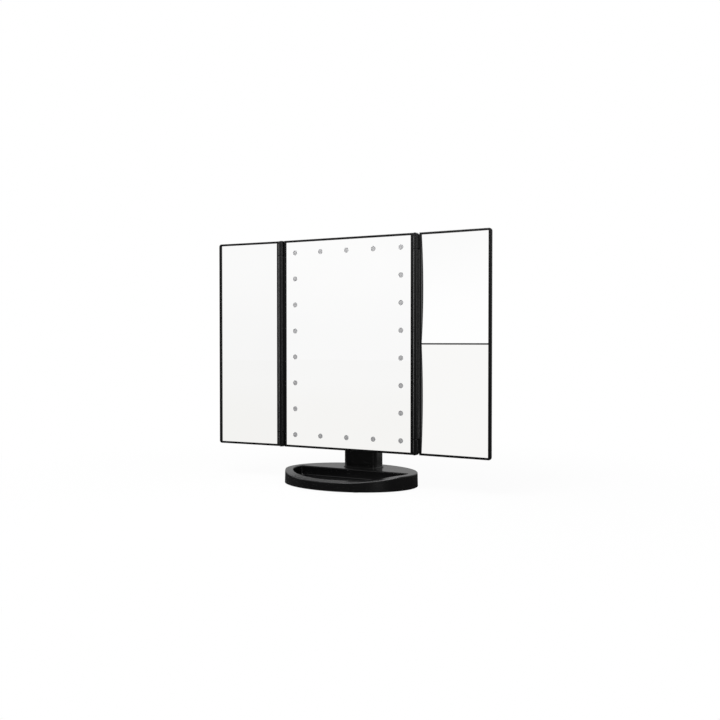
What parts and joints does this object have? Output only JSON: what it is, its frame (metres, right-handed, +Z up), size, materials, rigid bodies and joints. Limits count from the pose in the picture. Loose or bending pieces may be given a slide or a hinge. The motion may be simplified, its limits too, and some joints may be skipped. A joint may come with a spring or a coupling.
{
  "type": "led makeup mirror",
  "caption": "Tri-fold lighted makeup mirror: flat centre glass with a border of light windows, folding side mirrors with magnifying panes, tilting neck and oval tray base.",
  "frame": {"origin": "middle of the base's oval outline, on the table", "axes": "+Z up, the centre mirror faces -Y, +X to the right of someone who looks at the mirror"},
  "size_m": [0.3557, 0.124, 0.2842],
  "materials": {
    "black_plastic": "satin black moulding",
    "switch_plastic": "satin",
    "mirror_glass": "silvered glass",
    "lens": "frosted light windows",
    "foot_rubber": "matt",
    "tape": "foam tape",
    "foam": "foam pad",
    "ballast_steel": "raw plate",
    "screw_steel": "dark zinc",
    "spring_steel": "nickel plated",
    "washer": "friction washer",
    "board": "solder mask",
    "led_package": "phosphor",
    "touch_foil": "foil",
    "socket_metal": "plain",
    "cell_can": "sleeved can",
    "lead_sleeve": "sleeve"
  },
  "bodies": {
    "base": {"base_shell": "black_plastic", "base_plate": "black_plastic", "base_ballast": "ballast_steel", "base_feet": "foot_rubber", "base_screws": "screw_steel", "neck_front": "black_plastic", "neck_rear": "black_plastic", "neck_clamp_screws": "screw_steel", "neck_foot_screws": "screw_steel"},
    "panel": {"center_frame": "black_plastic", "center_mirror": "mirror_glass", "mirror_tape": "tape", "led_lenses": "lens", "led_board": "board", "leds": "led_package", "touch_pad": "touch_foil", "control_board": "board", "board_screws": "screw_steel", "usb_socket": "socket_metal", "switch_body": "switch_plastic", "rear_cover": "black_plastic", "rear_cover_screws": "screw_steel", "battery_cells": "cell_can", "battery_contacts": "spring_steel", "battery_springs": "spring_steel", "power_leads": "lead_sleeve", "light_leads": "lead_sleeve", "left_hinge_pins": "screw_steel", "right_hinge_pins": "screw_steel", "tilt_shaft": "screw_steel", "tilt_nut": "screw_steel", "tilt_washers": "washer"},
    "left_wing": {"left_wing_tray": "black_plastic", "left_mirror": "mirror_glass", "left_mirror_foam": "foam"},
    "right_wing": {"right_wing_tray": "black_plastic", "right_upper_mirror": "mirror_glass", "right_lower_mirror": "mirror_glass", "right_upper_foam": "foam", "right_lower_foam": "foam"},
    "switch_slider": {"switch_knob": "black_plastic"},
    "battery_door": {"battery_cover": "black_plastic"}
  },
  "joints": [
    {"name": "panel_tilt", "type": "hinge", "parent": "base", "child": "panel", "pos_m": [0, 0.0264, 0.0636], "axis": [-1, 0, 0], "range_deg": [-10, 30]},
    {"name": "left_wing_fold", "type": "hinge", "parent": "panel", "child": "left_wing", "pos_m": [-0.08905, -0.0103, 0.1619], "axis": [0, 0, 1], "range_deg": [-3.4, 176.6]},
    {"name": "right_wing_fold", "type": "hinge", "parent": "panel", "child": "right_wing", "pos_m": [0.08905, -0.0103, 0.1619], "axis": [0, 0, -1], "range_deg": [-2.1, 177.9]},
    {"name": "light_switch", "type": "slide", "parent": "panel", "child": "switch_slider", "axis": [1, 0, 0], "range_m": [0, 0.004]},
    {"name": "battery_cover_lift", "type": "slide", "parent": "panel", "child": "battery_door", "axis": [0, 1, 0], "range_m": [0, 0.03]}
  ]
}
